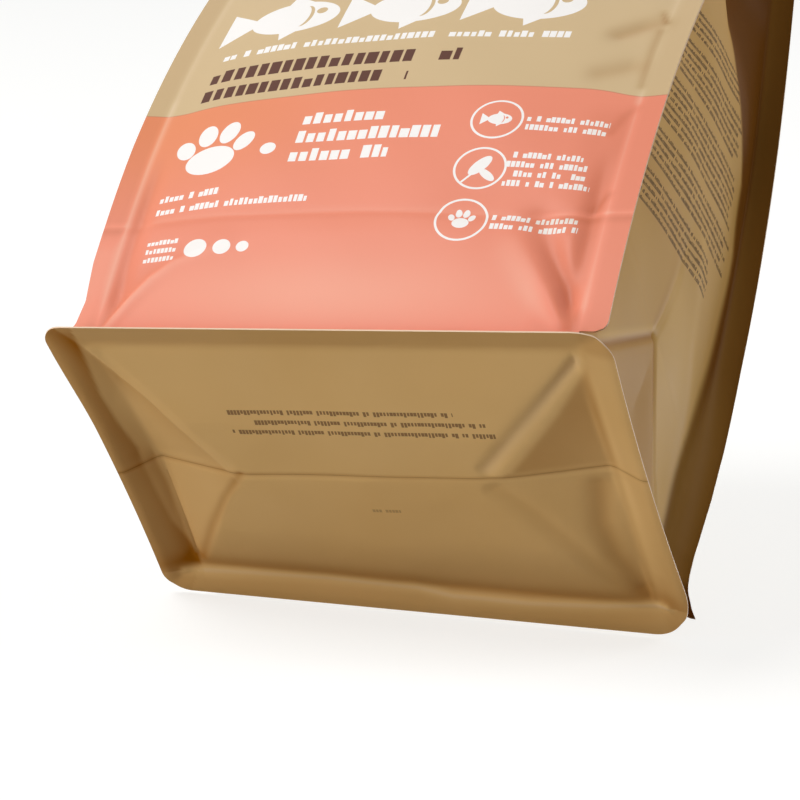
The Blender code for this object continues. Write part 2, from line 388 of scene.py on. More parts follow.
def front_shade(u, x, y, z):
    """Painted shade of the front's folds and dents, above 0, and painted highlight, below 0."""
    wide = np.abs(u)
    from_root = HALF_WIDTH - wide
    fin = smooth(wide, HALF_WIDTH + 0.0004, HALF_WIDTH + 0.0012)
    low = smooth(z, 0.062, 0.045)
    # Painted shade in the right valley and beside the left fold, painted highlight on the ridges
    shade = 0.24 * stroke(x, z, RIGHT_FRONT_VALLEY, 1.5, 2.4, 0.45)
    shade += 0.42 * one_sided(x, z, LEFT_FRONT_FOLD, 1.2, 5.0, 0.9)
    shade -= 0.20 * stroke(x, z, LEFT_FRONT_FOLD, 1.0, 1.6, 0.8)
    shade -= 0.14 * stroke(x, z, [(55.6, 13), (54.6, 22), (52.9, 30)], 1.8, 1.4, 0.5)
    shade -= 0.16 * stroke(x, z, [(50.5, 8), (43, 17), (37, 26)], 1.8, 2.0, 0.7)
    # A painted sheen, paler low across the middle
    painted_sheen = bell(np.hypot((x + 0.004) / 0.040, (z - 0.0145) / 0.0095), 1.0)
    shade -= 0.15 * painted_sheen * (1 - fin)
    # Painted shade low down by the rim, and on the right near the fin
    shade += 0.12 * bell(z - 0.0045, 0.0018)
    shade += 0.14 * smooth(x, 0.043, 0.051) * (1 - fin) * smooth(z, 0.074, 0.066)
    # The fold across: a painted highlight line over painted shade, clearest on the fins and right
    across = 0.25 + 0.75 * np.maximum(fin, smooth(x, 0.036, 0.048))
    above = distance_left(x, z, FRONT_FOLD)
    shade -= 0.20 * bell(above - 0.0002, 0.0007) * across
    shade += 0.18 * bell(above + 0.0014, 0.0012) * across
    # A painted highlight along the root of each fin, and painted shade in the hollow beside it
    shade -= (0.10 + 0.12 * smooth(z, 0.078, 0.074)) * bell(from_root, 0.0009)
    shade += 0.16 * bell(from_root - 0.0030, 0.0020) * low * smooth(z, 0.012, 0.020)
    # Painted shade on the fins, except low on the left one, which is a little paler
    shade += np.where(u < 0, 0.20 * smooth(z, 0.026, 0.036) - 0.04, 0.11) * fin
    # Painted shade in the dents
    for depth, dent, width in ((0.32, HIGH_DENT, 2.8), (0.24, MIDDLE_DENT, 3.0),
                               (0.36, HIGH_NICK, 0.8), (0.34, ROOT_HOLLOW, 1.2),
                               (0.18, PINK_DENT, 1.2), (0.22, LOW_DENT, 1.0)):
        shade += depth * stroke(x, z, dent, width)
    return shade


def back_relief(x, z):
    """Dents and folds of the back, in metres outwards."""
    relief = slack(x, z, 3.0) * smooth(z, 0.005, 0.03)
    for fold in (([(-75, 38), (75, 38)], 0.30, 1.5),
                 ([(54, 6), (44, 17), (30, 32)], -0.9, 2.6, 2.2, 0.8),
                 ([(-54, 6), (-45, 16), (-33, 30)], -0.9, 2.6, 2.2, 0.8),
                 ([(56, 8), (50, 24), (44, 35)], 1.1, 2.4, 2.0, 0.6),
                 ([(-56, 8), (-51, 23), (-45, 34)], 1.1, 2.4, 2.0, 0.6)):
        relief += crease(x, z, *fold)
    return relief


def seal_ribs(z):
    """The pressed lines of the top seal."""
    return 0.00006 * np.sin(2 * math.pi * (z - SEAL_FOOT) / 0.0016) * (z > SEAL_FOOT)


def seal_pinch(z, deepest):
    """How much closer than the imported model's the films lie in the top seal."""
    return deepest * smooth(z, 0.2080, 0.2115)


def panel_depth(u, z, relief):
    """Half the depth over a front or back film, from the body's middle to its outer face."""
    share = clamp(u / HALF_WIDTH, -1, 1)
    from_root = (1 - np.abs(share)) * HALF_WIDTH
    depth = half_depth_at(z) + PANEL_BULGE * belly(z) * (1 - share * share)
    inside = smooth(from_root, 0, 0.006)
    # Between the tips of the gussets the seal has two films instead of four
    pinch = SEAL_PINCH + TWO_FILM_PINCH * smooth(np.abs(u), 0.0200, 0.0140)
    return depth + relief * inside + seal_ribs(z) - seal_pinch(z, pinch)


def left_fin_reach(z):
    """How far the left front fin stands out: it narrows, and turns out again at the rim."""
    heights = [0.0042, 0.0068, 0.0132, 0.0240, 0.0350, 0.0600]
    return np.interp(z, heights, [0.0074, 0.0054, 0.0045, 0.0055, 0.0056, FIN_WIDTH])


def place_front(u, v):
    out, z = out_over_rim(v, REACH_END, FRONT_EDGE_LIFT, 0.0001)
    z = np.minimum(z, HEIGHT)
    x = across_at(u, z, np.where(u < 0, left_fin_reach(z), fin_reach(z)))
    hollow = bell(HALF_WIDTH - np.abs(u) - 0.0032, 0.0022) * smooth(z, 0.008, 0.016)
    hollow = 0.0008 * hollow * smooth(z, 0.060, 0.042)
    y = -panel_depth(u, z, front_relief(x, z)) + hollow - out
    return x, y + MIDDLE_Y, z


def back_fin_reach(z):
    """How far a back fin stands out: it narrows above its pointed lower end."""
    heights = [0.0048, 0.0062, 0.0090, 0.0130, 0.0220, 0.0350]
    return np.interp(z, heights, [0.0069, 0.0060, 0.0051, 0.0050, 0.0055, FIN_WIDTH])


def fin_root(z):
    """How far behind the body's back corner a gusset meets its back fin."""
    heights = [0.007, 0.033, 0.051, 0.075, 0.100, 0.126, 0.140, 0.158, 0.178, 0.200, 0.210]
    offsets = [-7.5, -7.5, -5.3, -2.4, -0.5, 1.2, 1.4, 0.2, -0.6, -0.3, 0.0]
    return np.interp(z, heights, offsets) / 1000


def fin_edge(z):
    """How far behind the body's back corner a back fin's outer edge is."""
    heights = [0.007, 0.018, 0.033, 0.051, 0.075, 0.100, 0.126, 0.140, 0.178, 0.200, 0.210]
    offsets = [2.0, 0.8, 1.4, 2.0, 1.4, 2.0, 2.3, 2.4, 2.0, 1.4, 0.0]
    return np.interp(z, heights, offsets) / 1000


def fin_kick(z):
    """The lower ends of the back fins are pushed outwards by the rim under them."""
    return 0.0050 * smooth(z, 0.0108, 0.0042)


def place_back(u, v):
    across, along = corner_radii(u, np.ones(np.shape(u)))
    kept = 1 - set_back(u, RIM_HALF_WIDTH, across, along) / REACH_END
    out, z = out_over_rim(np.where(v < 0, v * kept, v), REACH_END, BACK_EDGE_LIFT)
    z = np.minimum(z, HEIGHT)
    x = across_at(u, z, back_fin_reach(z))
    from_root = clamp((HALF_WIDTH - np.abs(u)) / 0.009)
    in_fin = clamp((np.abs(u) - HALF_WIDTH) / FIN_WIDTH)
    sunk = np.maximum(fin_root(z) + 0.0010, -0.0016) * smooth(z, 0.004, 0.012)
    sunk = sunk * smooth(z, 0.2095, 0.1950) * (out <= 0)
    fin = (fin_edge(z) - sunk) * in_fin * (2 - in_fin)
    y = panel_depth(u, z, back_relief(x, z)) + out + sunk * (1 - smooth(from_root, 0, 1)) + fin
    y = y + fin_kick(z) * in_fin * (2 - in_fin)
    fade = clamp(1 - (z - FOOT_HEIGHT) / SKEW_HEIGHT) ** 2
    y = y + BACK_SKEW * x / HALF_WIDTH * fade
    return x, y + MIDDLE_Y, z


def no_shade(u, x, y, z):
    return np.zeros(np.shape(x))


def back_fin_shade_brown(u, x, y, z):
    """How much of the back film is painted dark brown as painted shade: its fins."""
    return smooth(np.abs(u), HALF_WIDTH - 0.0012, HALF_WIDTH + 0.0004)


# The map of the front film follows the print, which runs a little askew on the filled pouch
DRIFT_PLACES = [-63, -55, -45, -34, 0, 35, 47, 57, 63]
DRIFT_LOW = [-4.2, -5.0, -3.3, -1.7, 0.0, 0.0, -0.4, -1.0, 0.2]
DRIFT_HIGH = [-5.4, -6.1, -3.7, -2.6, -0.5, 0.5, 0.9, -0.9, 0.2]
DRIFT_ZONE = 0.038  # height up to the low drift, and from there to the high one
PRINT_FOOT = 0.0042  # height at which the flat front turns up out of the rim


def print_drift(x, z):
    """How much higher the print lies than on the flat film, in metres: below 0 where lower."""
    low = high = 0.0
    for aside in (-3, -1.5, 0, 1.5, 3):
        low = low + np.interp(x * 1000 + aside, DRIFT_PLACES, DRIFT_LOW) / 5000
        high = high + np.interp(x * 1000 + aside, DRIFT_PLACES, DRIFT_HIGH) / 5000
    share = clamp((z - DRIFT_ZONE) / DRIFT_ZONE)
    return (low + (high - low) * share) * clamp(z / DRIFT_ZONE)


def map_front(u, v):
    return u, v + PRINT_FOOT * (v > 0) - print_drift(u, v)


def map_plain(u, v):
    return u, v


# The gussets


def gusset_relief(y, z):
    """Folds of a gusset, in metres outwards: its foot is a flat-folded triangle."""
    relief = slack(y, z, 5.0) * 1.4
    for fold in ((GUSSET_FRONT_DIAGONAL, 0.40, 0.9), (GUSSET_BACK_DIAGONAL, 0.45, 0.9),
                 ([(-2, 43), (2.5, 66), (3, 90)], 0.50, 1.2, 2.0, 1.0),
                 ([(12.8, 80), (29, 50), (34, 29), (36.4, 15)], -0.35, 4.5)):
        relief += crease(y, z, *fold)
    relief -= 0.0010 * smooth(z + np.abs(y), 0.043, 0.020) * smooth(z, 0.0, 0.02)
    relief += crease(y, z, [(-43, 44), (0, 43), (43, 42)], 0.12, 1.0)
    return relief


def gusset_shade(u, x, y, z):
    """Painted shade of a gusset's folds, above 0, and painted highlight, below 0."""
    y = y - MIDDLE_Y
    above = smooth(z - y, 0.0445, 0.0480)
    # Painted shade on the foot's triangle, on the front half beside it, and higher up
    shade = 0.20 * above * smooth(y, 0.004, -0.004) * smooth(z, 0.085, 0.060)
    shade += 0.38 * (1 - above) * smooth(z + y, 0.0425, 0.0390) + 0.12 * smooth(z, 0.055, 0.075)
    # Deeper painted shade behind the middle fold, and nearly black at the back fin's lower end
    inner = 1 - smooth(u, GUSSET_BACK + 0.0010, GUSSET_BACK + 0.0030)
    shade += 0.60 * gusset_shade_brown(u, x, y, z) * inner * smooth(z, 0.035, 0.080)
    shade += 0.90 * smooth(u, GUSSET_BACK, GUSSET_BACK + 0.002) * smooth(z, 0.0125, 0.0060)
    # Painted shade along the foot's folds, painted highlight beside them
    for depth, *fold in ((0.34, GUSSET_BACK_DIAGONAL, 0.9, 1.4, 0.4),
                         (0.32, GUSSET_FRONT_DIAGONAL, 0.9),
                         (-0.22, [(-2, 44.5), (-34, 14)], 0.9),
                         (-0.26, [(-1.2, 44), (3.4, 66)], 1.0, 1.6, 0.6),
                         (0.22, [(-3.4, 45), (1.0, 67)], 1.4, 2.2, 0.6),
                         (-0.08, [(12.8, 84), (29, 50), (34, 29), (36.4, 15)], 3.4)):
        shade += depth * stroke(y, z, *fold)
    shade += 0.24 * smooth(z, 0.020, 0.006) * smooth(y, 0.020, -0.010)
    # A painted shadow under the front fin's lower end
    shade += 0.95 * stroke(y, z, [(-47.0, 5.2), (-42.0, 4.6), (-38.0, 3.6)], 1.2)
    return shade


def gusset_shade_brown(u, x, y, z):
    """How much of a gusset is painted dark brown as painted shade: its back fin, and higher up
    what is behind its middle fold.
    """
    heights = [0.000, 0.040, 0.080, 0.105, 0.122, 0.130, 0.140, 0.150, 0.222]
    edges = [38.5, 38.5, 39.5, 39.0, 34.0, 22.0, 8.0, 2.0, 2.0]
    edge = np.interp(z, heights, edges) / 1000
    return smooth(u, edge - 0.0022, edge + 0.0034)


def gusset_depth_at(z):
    share = clamp((z - GUSSET_START) / (SEAL_FOOT - GUSSET_START))
    return GUSSET_TIP * share * share


# Places across a gusset film: its front fin, the gusset itself, the back fin
GUSSET_FRONT = -HALF_DEPTH
GUSSET_BACK = HALF_DEPTH
GUSSET_FINS = (GUSSET_FRONT - FIN_WIDTH, GUSSET_BACK + BACK_FIN_SPAN)


def place_gusset(side, lift):
    """The place function of a gusset film: side is -1 for the left and 1 for the right."""

    def place(u, v):
        share = clamp(u / HALF_DEPTH, -1, 1)
        base = np.where(share < 0, FRONT_EDGE_LIFT, BACK_EDGE_LIFT)
        edge_lift = base + (lift - base) * (1 - np.abs(share))
        bow = RIM_BOW * (1 - (u / RIM_HALF_DEPTH) ** 2) + 0.00025
        across, along = corner_radii(np.full(np.shape(u), side), u)
        kept = 1 - set_back(u, RIM_HALF_DEPTH, along, across) / REACH_SIDE
        out, z = out_over_rim(np.where(v < 0, v * kept, v), REACH_SIDE, edge_lift, bow)
        fade = clamp(1 - (v / 0.030))
        z = np.where(v > 0, z - (edge_lift - FRONT_EDGE_LIFT) * (1 - fade * fade), z)
        z = np.minimum(z, HEIGHT)
        depth = half_depth_at(z) - LAYER - seal_pinch(z, SEAL_PINCH - LAYER / 2)
        root = np.maximum(fin_root(z) * smooth(z, 0.003, 0.010), -1.4 * depth)
        y = -depth + (2 * depth + root) * (share + 1) / 2
        from_middle = clamp(y / np.maximum(half_depth_at(z), 0.001), -1, 1)
        x = half_width_at(z) + SIDE_BULGE * belly(z) * (1 - from_middle ** 2)
        x = x - gusset_depth_at(z) * (1 - np.abs(share))
        near_fins = smooth(HALF_DEPTH - np.abs(share) * HALF_DEPTH, 0, 0.006)
        x = x + gusset_relief(y, z) * near_fins * smooth(z, 0.21, 0.17)
        # The front fin lies flat against the front film's
        in_front = clamp((GUSSET_FRONT - u) / FIN_WIDTH)
        x = x + in_front * (left_fin_reach(z) if side < 0 else fin_reach(z))
        # The back fin leans out of a rounded fold
        in_back = clamp((u - GUSSET_BACK) / (GUSSET_FINS[1] - GUSSET_BACK))
        x = x + back_fin_reach(z) * (0.35 * in_back ** 2 + 0.65 * smooth(in_back, 0, 1))
        y = y + (fin_edge(z) - root + fin_kick(z)) * in_back * (2 - in_back)
        x = side * (x + out)
        backwards = clamp((y + HALF_DEPTH) / (2 * HALF_DEPTH))
        skew_fade = clamp(1 - (z - FOOT_HEIGHT) / SKEW_HEIGHT) ** 2
        y = y + BACK_SKEW * x / HALF_WIDTH * backwards * skew_fade
        return x, y + MIDDLE_Y, z

    return place


# The underside


def rounded_outline(p, q):
    """A square's place laid into the rim's outline, of which each corner has its own radius."""
    x, y = p * RIM_HALF_WIDTH, q * RIM_HALF_DEPTH
    across, along = corner_radii(x, y)
    in_x = clamp((np.abs(x) - RIM_HALF_WIDTH + across) / across)
    in_y = clamp((np.abs(y) - RIM_HALF_DEPTH + along) / along)
    round_x = across * in_x * (np.sqrt(1 - in_y * in_y / 2) - 1)
    round_y = along * in_y * (np.sqrt(1 - in_x * in_x / 2) - 1)
    return x + np.sign(x) * round_x, y + np.sign(y) * round_y


def underside_height(x, y):
    """Facets inside the rim's inner fold, and the rim sloping down outside it."""
    outwards = clamp(np.abs(y) / HALF_DEPTH)
    lift = np.where(y < 0, FRONT_EDGE_LIFT, BACK_EDGE_LIFT)
    front_ramp = FRONT_EDGE_LIFT * clamp((outwards - 0.34) / 0.66)
    back_ramp = BACK_EDGE_LIFT * clamp((outwards - 0.50) / 0.50) ** 1.7
    ramp = np.where(y < 0, front_ramp, back_ramp)
    joint = np.where(x < 0, LEFT_JOINT, RIGHT_JOINT)
    side_lift = np.where(x < 0, LEFT_EDGE_LIFT, RIGHT_EDGE_LIFT)
    fold_x = joint + (HALF_WIDTH - joint) * outwards
    edge = lift + (side_lift - lift) * (1 - outwards)
    across = clamp((np.abs(x) - fold_x) / np.maximum(HALF_WIDTH - fold_x, 0.0002))
    inside = ramp + (edge - ramp) * across
    out_x = clamp((np.abs(x) - HALF_WIDTH) / (RIM_HALF_WIDTH - RIM_BOW - HALF_WIDTH))
    out_y = clamp((np.abs(y) - HALF_DEPTH) / REACH_END)
    slope_y = np.where(y < 0, 1 - out_y, (1 - out_y) ** 2.0)
    return inside * np.minimum(1 - out_x, slope_y)


def soften(heights, columns, rows, sigma):
    """Rounds the folds of a height field that is given over a grid of points."""
    field = heights.reshape(rows, columns)
    reach = int(3 * sigma) + 1
    kernel = np.exp(-0.5 * (np.arange(-reach, reach + 1) / sigma) ** 2)
    kernel /= kernel.sum()
    padded = np.pad(field, reach, mode="reflect", reflect_type="odd")
    padded = np.apply_along_axis(lambda line: np.convolve(line, kernel, "valid"), 0, padded)
    padded = np.apply_along_axis(lambda line: np.convolve(line, kernel, "valid"), 1, padded)
    return padded.ravel()


def underside_relief(x, y):
    """Creases of the underside, in metres upwards into the pouch."""
    relief = slack(x, y, 7.0) * 0.8
    # A fold out of the left front corner that softens
    relief += 0.0009 * one_sided(x, y, LEFT_FRONT_DIAGONAL, 1.2, 6.0, 0.8)
    # Then the left's other folds, broad shallow valleys on the right, the fold straight across
    for fold in (([(-57.3, -41), (-56.0, -24), (-55.0, -3)], -0.45, 1.6, 1.7, 0.3),
                 (LEFT_BACK_DIAGONAL, 0.3, 0.9, 1.2), (LEFT_BACK_LINE, 0.6, 1.0),
                 (RIGHT_FRONT_DIAGONAL, 0.9, 2.4, 0.7), (RIGHT_BACK_DIAGONAL, 0.8, 3.0, 0.9),
                 (RIGHT_BACK_HOLLOW, 0.8, 3.2, 0.8, 0.3),
                 ([(-66, 0), (-33.7, 0.4), (27.6, -0.4), (66, 0)], 0.25, 0.9),
                 (BACK_RIDGE, -0.5, 1.3)):
        relief -= crease(x, y, *fold)
    return relief


def underside_shade(u, x, y, z):
    """Painted shade of the underside's folds and strips, above 0, and painted highlight, below 0.
    """
    y = y - MIDDLE_Y
    # Painted shade on the strips outside the inner folds
    outside = distance_left(x, y, LEFT_STRIP_FOLD)
    left_strip = smooth(outside, -0.0005, 0.0006) * smooth(y, 0.0390, 0.0350)
    in_front_half = smooth(y, 0.002, -0.004)
    shade = 0.38 * left_strip
    shade += 0.30 * one_sided(x, y, LEFT_STRIP_FOLD, 0.8, 3.4) * (0.25 + 0.75 * in_front_half)
    shade += 0.04 * left_strip * smooth(y, -0.018, -0.040)
    shade += 0.23 * smooth(-y, 0.0405, 0.0440) * (1 - left_strip)
    shade += 0.12 * smooth(x, 0.0570, 0.0600)
    # Painted shade in front of the back fold and behind it, with a painted highlight on its ridge
    in_front = -distance_left(x, y, BACK_RIDGE)
    shade += 0.34 * bell(in_front - 0.0022, 0.0038) * smooth(in_front, -0.0008, 0.0016)
    shade += 0.16 * smooth(in_front, -0.0005, 0.0020) * bell(in_front, 0.0150)
    shade += 0.22 * smooth(-in_front, 0.0008, 0.0030)
    shade -= 0.26 * bell(in_front, 0.0009)
    shade += 0.04 * smooth(y, -0.002, 0.004)
    # Left side: painted shade on the facets and beside the folds
    shade += 0.36 * one_sided(x, y, LEFT_FRONT_DIAGONAL, 0.9, 4.6, 0.75)
    behind = distance_left(x, y, LEFT_FRONT_DIAGONAL)
    shade += 0.08 * smooth(behind, 0.0, 0.002) * in_front_half * (1 - left_strip)
    beside = distance_left(x, y, LEFT_BACK_DIAGONAL)
    shade += 0.10 * smooth(beside, 0.0, 0.002) * (1 - in_front_half) * (1 - left_strip)
    shade += 0.40 * stroke(x, y, LEFT_BACK_DIAGONAL, 1.0, 1.3)
    shade += 0.32 * one_sided(x, y, LEFT_BACK_LINE, 1.2, 3.4)
    # Right side: painted shade on the facet and along folds, painted highlight along others
    facet = one_sided(x, y, [(32.7, -3.5), (47.3, -21.9), (57.5, -37.8)], 2.0, 24.0)
    shade += 0.40 * facet * smooth(-y, 0.0, 0.004) * smooth(x, 0.0585, 0.0560)
    for depth, fold, width in ((-0.10, RIGHT_FRONT_DIAGONAL, 1.6),
                               (0.14, [(58.1, -41), (56.6, -20), (56.2, 2), (56.6, 40)], 1.1),
                               (0.24, RIGHT_BACK_HOLLOW, 2.6), (0.10, RIGHT_BACK_DIAGONAL, 2.0),
                               (-0.10, [(57.8, 4), (59, 20), (59.3, 34)], 2.0)):
        shade += depth * stroke(x, y, fold, width)
    # A painted highlight at the back right corner
    shade -= 0.10 * bell(np.hypot(x - 0.0595, y - 0.0475), 0.0040)
    # Painted shade along the fold straight across
    shade += 0.30 * bell(y + 0.0004 + 0.014 * x, 0.00055)
    return shade


def underside_plan(p, q):
    """x and y of a place of the underside, before and after its edges are bowed and skewed."""
    x, y = rounded_outline(p, q)
    bow = RIM_BOW * (1 - clamp(y / RIM_HALF_DEPTH, -1, 1) ** 2)
    bowed = x * (1 - bow / RIM_HALF_WIDTH)
    backwards = clamp((y + HALF_DEPTH) / (2 * HALF_DEPTH))
    skewed = y + BACK_SKEW * bowed / HALF_WIDTH * backwards
    corner = smooth(-x, 0.050, 0.063) * smooth(-y, 0.012, 0.042)
    return x, y, bowed - LEFT_CORNER_OUT * corner, skewed


def place_underside(p, q):
    x, y, final_x, final_y = underside_plan(p, q)
    z = soften(underside_height(x, y), UNDERSIDE_COLUMNS, UNDERSIDE_ROWS, FOLD_ROUNDING)
    # Under the rim's wall films it may bend down only
    over = np.minimum(smooth(HALF_WIDTH - np.abs(x), 0.0, 0.0012),
                      smooth(HALF_DEPTH - np.abs(y), 0.0, 0.0012))
    inside = smooth(RIM_HALF_WIDTH - np.abs(x), 0.0, 0.006)
    inside = inside * smooth(RIM_HALF_DEPTH - np.abs(y), 0.0, 0.006)
    relief = underside_relief(final_x, final_y)
    relief = np.where(relief > 0, relief * over, relief * inside)
    return final_x, final_y + MIDDLE_Y, np.maximum(z + relief, 0.0)


def map_underside(p, q):
    return underside_plan(p, q)[2:]


# Node helpers


def add_node(tree, kind, inputs=(), **settings):
    """A node with its settings, and its inputs given by name or number."""
    node = tree.nodes.new(kind)
    for name, value in settings.items():
        setattr(node, name, value)
    for key, value in dict(inputs).items():
        if isinstance(value, bpy.types.NodeSocket):
            tree.links.new(value, node.inputs[key])
        else:
            node.inputs[key].default_value = value
    return node


def math_node(tree, operation, *values, limit=False):
    inputs = dict(enumerate(values))
    return add_node(tree, "ShaderNodeMath", inputs, operation=operation, use_clamp=limit).outputs[0]


def mix_colours(tree, share, first, second, blend="MIX"):
    inputs = {0: share, 6: first, 7: second}
    node = add_node(tree, "ShaderNodeMix", inputs, data_type="RGBA", blend_type=blend)
    return node.outputs[2]


def new_material(name):
    material = bpy.data.materials.new(name)
    material.use_nodes = True
    return material, material.node_tree


def make_group(name, inputs, outputs):
    """An empty shader group with float inputs, its Place a vector, and its ends."""
    group = bpy.data.node_groups.new(name, "ShaderNodeTree")
    for label, default in inputs:
        kind = "NodeSocketVector" if label == "Place" else "NodeSocketFloat"
        socket = group.interface.new_socket(label, in_out="INPUT", socket_type=kind)
        if default is not None:
            socket.default_value = default
    for label, kind in outputs:
        group.interface.new_socket(label, in_out="OUTPUT", socket_type=kind)
    return group, group.nodes.new("NodeGroupInput"), group.nodes.new("NodeGroupOutput")


EDGE = 0.00009  # softness of a printed edge


def local_place(group, start):
    """Place measured from a mark's middle and turned with it."""
    parts = add_node(group, "ShaderNodeSeparateXYZ", {0: start.outputs["Place"]})
    x = math_node(group, "SUBTRACT", parts.outputs[0], start.outputs["X"])
    y = math_node(group, "SUBTRACT", parts.outputs[1], start.outputs["Y"])
    cos = math_node(group, "COSINE", start.outputs["Turn"])
    sin = math_node(group, "SINE", start.outputs["Turn"])
    along = math_node(group, "ADD", math_node(group, "MULTIPLY", x, cos),
                      math_node(group, "MULTIPLY", y, sin))
    above = math_node(group, "SUBTRACT", math_node(group, "MULTIPLY", y, cos),
                      math_node(group, "MULTIPLY", x, sin))
    return along, above


def mask_from(group, end, distance):
    """Ink where the distance to the mark's edge is below 0."""
    ink = math_node(group, "MULTIPLY_ADD", distance, -1 / EDGE, 0.5, limit=True)
    group.links.new(ink, end.inputs["Ink"])


MARK_INPUTS = [("Place", None), ("X", 0.0), ("Y", 0.0), ("Half Width", 0.005),
               ("Half Height", 0.005), ("Turn", 0.0)]


def oval_group():
    group, start, end = make_group("printed oval", MARK_INPUTS, [("Ink", "NodeSocketFloat")])
    x, y = local_place(group, start)
    wide, high = start.outputs["Half Width"], start.outputs["Half Height"]
    x = math_node(group, "DIVIDE", x, wide)
    y = math_node(group, "DIVIDE", y, high)
    square = math_node(group, "ADD", math_node(group, "MULTIPLY", x, x),
                       math_node(group, "MULTIPLY", y, y))
    reach = math_node(group, "SUBTRACT", math_node(group, "SQRT", square), 1.0)
    distance = math_node(group, "MULTIPLY", reach, math_node(group, "MINIMUM", wide, high))
    mask_from(group, end, distance)
    return group


def bar_group():
    group, start, end = make_group("printed bar", MARK_INPUTS + [("Rounding", 0.0005)],
                                   [("Ink", "NodeSocketFloat")])
    outside = []
    for value, half in zip(local_place(group, start), ("Half Width", "Half Height")):
        straight = math_node(group, "SUBTRACT", start.outputs[half], start.outputs["Rounding"])
        past = math_node(group, "SUBTRACT", math_node(group, "ABSOLUTE", value), straight)
        past = math_node(group, "MAXIMUM", past, 0.0)
        outside.append(math_node(group, "MULTIPLY", past, past))
    corner = math_node(group, "SQRT", math_node(group, "ADD", *outside))
    mask_from(group, end, math_node(group, "SUBTRACT", corner, start.outputs["Rounding"]))
    return group


def wedge_group():
    """A triangle: as wide as it says at its foot, with its point at the top."""
    group, start, end = make_group("printed wedge", MARK_INPUTS, [("Ink", "NodeSocketFloat")])
    x, y = local_place(group, start)
    high = start.outputs["Half Height"]
    rise = math_node(group, "MULTIPLY", math_node(group, "DIVIDE", y, high), -0.5)
    width = math_node(group, "MULTIPLY", start.outputs["Half Width"],
                      math_node(group, "ADD", rise, 0.5))
    across = math_node(group, "SUBTRACT", math_node(group, "ABSOLUTE", x), width)
    along = math_node(group, "SUBTRACT", math_node(group, "ABSOLUTE", y), high)
    mask_from(group, end, math_node(group, "MAXIMUM", across, along))
    return group


ROW_INPUTS = [("Place", None), ("Left", 0.0), ("Right", 0.01), ("Top", 0.01), ("Rows", 1.0),
              ("Pitch", 0.002), ("Block Height", 0.0015), ("Block Width", 0.001),
              ("Word Gap", 0.16), ("Low Share", 0.0), ("Ragged", 0.0), ("Paragraph", 99.0),
              ("Seed", 0.0)]


def block_rows_group():
    """Rows of small plain blocks in word-like runs."""
    group, start, end = make_group("rows of blocks", ROW_INPUTS, [("Ink", "NodeSocketFloat")])
    value = start.outputs
    parts = add_node(group, "ShaderNodeSeparateXYZ", {0: value["Place"]})
    x = math_node(group, "SUBTRACT", parts.outputs[0], value["Left"])
    down = math_node(group, "DIVIDE", math_node(group, "SUBTRACT", value["Top"],
                                                parts.outputs[1]), value["Pitch"])
    row = math_node(group, "FLOOR", down)
    in_row = math_node(group, "SUBTRACT", down, row)
    cell_place = math_node(group, "DIVIDE", x, value["Block Width"])
    cell = math_node(group, "FLOOR", cell_place)
    in_cell = math_node(group, "SUBTRACT", cell_place, cell)
    keys = add_node(group, "ShaderNodeCombineXYZ",
                    {0: math_node(group, "ADD", cell, value["Seed"]), 1: row})
    chance = add_node(group, "ShaderNodeTexWhiteNoise", {0: keys.outputs[0]})
    pieces = add_node(group, "ShaderNodeSeparateColor", {0: chance.outputs["Color"]}).outputs
    # A block in each cell, its width by chance
    half = math_node(group, "MULTIPLY_ADD", pieces[0], 0.16, 0.30)
    off = math_node(group, "ABSOLUTE", math_node(group, "SUBTRACT", in_cell, 0.5))
    block = math_node(group, "MULTIPLY", math_node(group, "SUBTRACT", half, off),
                      math_node(group, "DIVIDE", value["Block Width"], EDGE))
    block = math_node(group, "ADD", block, 0.5, limit=True)
    word = math_node(group, "GREATER_THAN", pieces[1], value["Word Gap"])
    # Some blocks are lower, on the same line
    tall = math_node(group, "GREATER_THAN", pieces[2], value["Low Share"])
    height = math_node(group, "MULTIPLY", value["Block Height"],
                       math_node(group, "MULTIPLY_ADD", tall, 0.26, 0.74))
    half_row = math_node(group, "MULTIPLY", height, 0.5)
    sink = math_node(group, "SUBTRACT", math_node(group, "MULTIPLY", value["Block Height"], 0.5),
                     half_row)
    above = math_node(group, "MULTIPLY", math_node(group, "SUBTRACT", in_row, 0.5),
                      value["Pitch"])
    from_middle = math_node(group, "ABSOLUTE", math_node(group, "SUBTRACT", above, sink))
    inside = math_node(group, "DIVIDE", math_node(group, "SUBTRACT", half_row, from_middle), EDGE)
    inside = math_node(group, "ADD", inside, 0.5, limit=True)
    # Its ends, and which rows there are
    row_key = add_node(group, "ShaderNodeCombineXYZ", {0: row, 1: value["Seed"], 2: 7.0})
    row_chance = add_node(group, "ShaderNodeTexWhiteNoise", {0: row_key.outputs[0]}).outputs[0]
    cut = math_node(group, "MULTIPLY", row_chance, value["Ragged"])
    right = math_node(group, "SUBTRACT", value["Right"], cut)
    ends = math_node(group, "MULTIPLY", math_node(group, "GREATER_THAN", x, 0.0),
                     math_node(group, "LESS_THAN", parts.outputs[0], right))
    rows = math_node(group, "MULTIPLY", math_node(group, "GREATER_THAN", down, 0.0),
                     math_node(group, "LESS_THAN", down, value["Rows"]))
    place_in_paragraph = math_node(group, "MODULO", row, value["Paragraph"])
    last = math_node(group, "SUBTRACT", value["Paragraph"], 1.5)
    written = math_node(group, "LESS_THAN", place_in_paragraph, last)
    ink = block
    for factor in (word, inside, ends, rows, written):
        ink = math_node(group, "MULTIPLY", ink, factor)
    group.links.new(ink, end.inputs["Ink"])
    return group


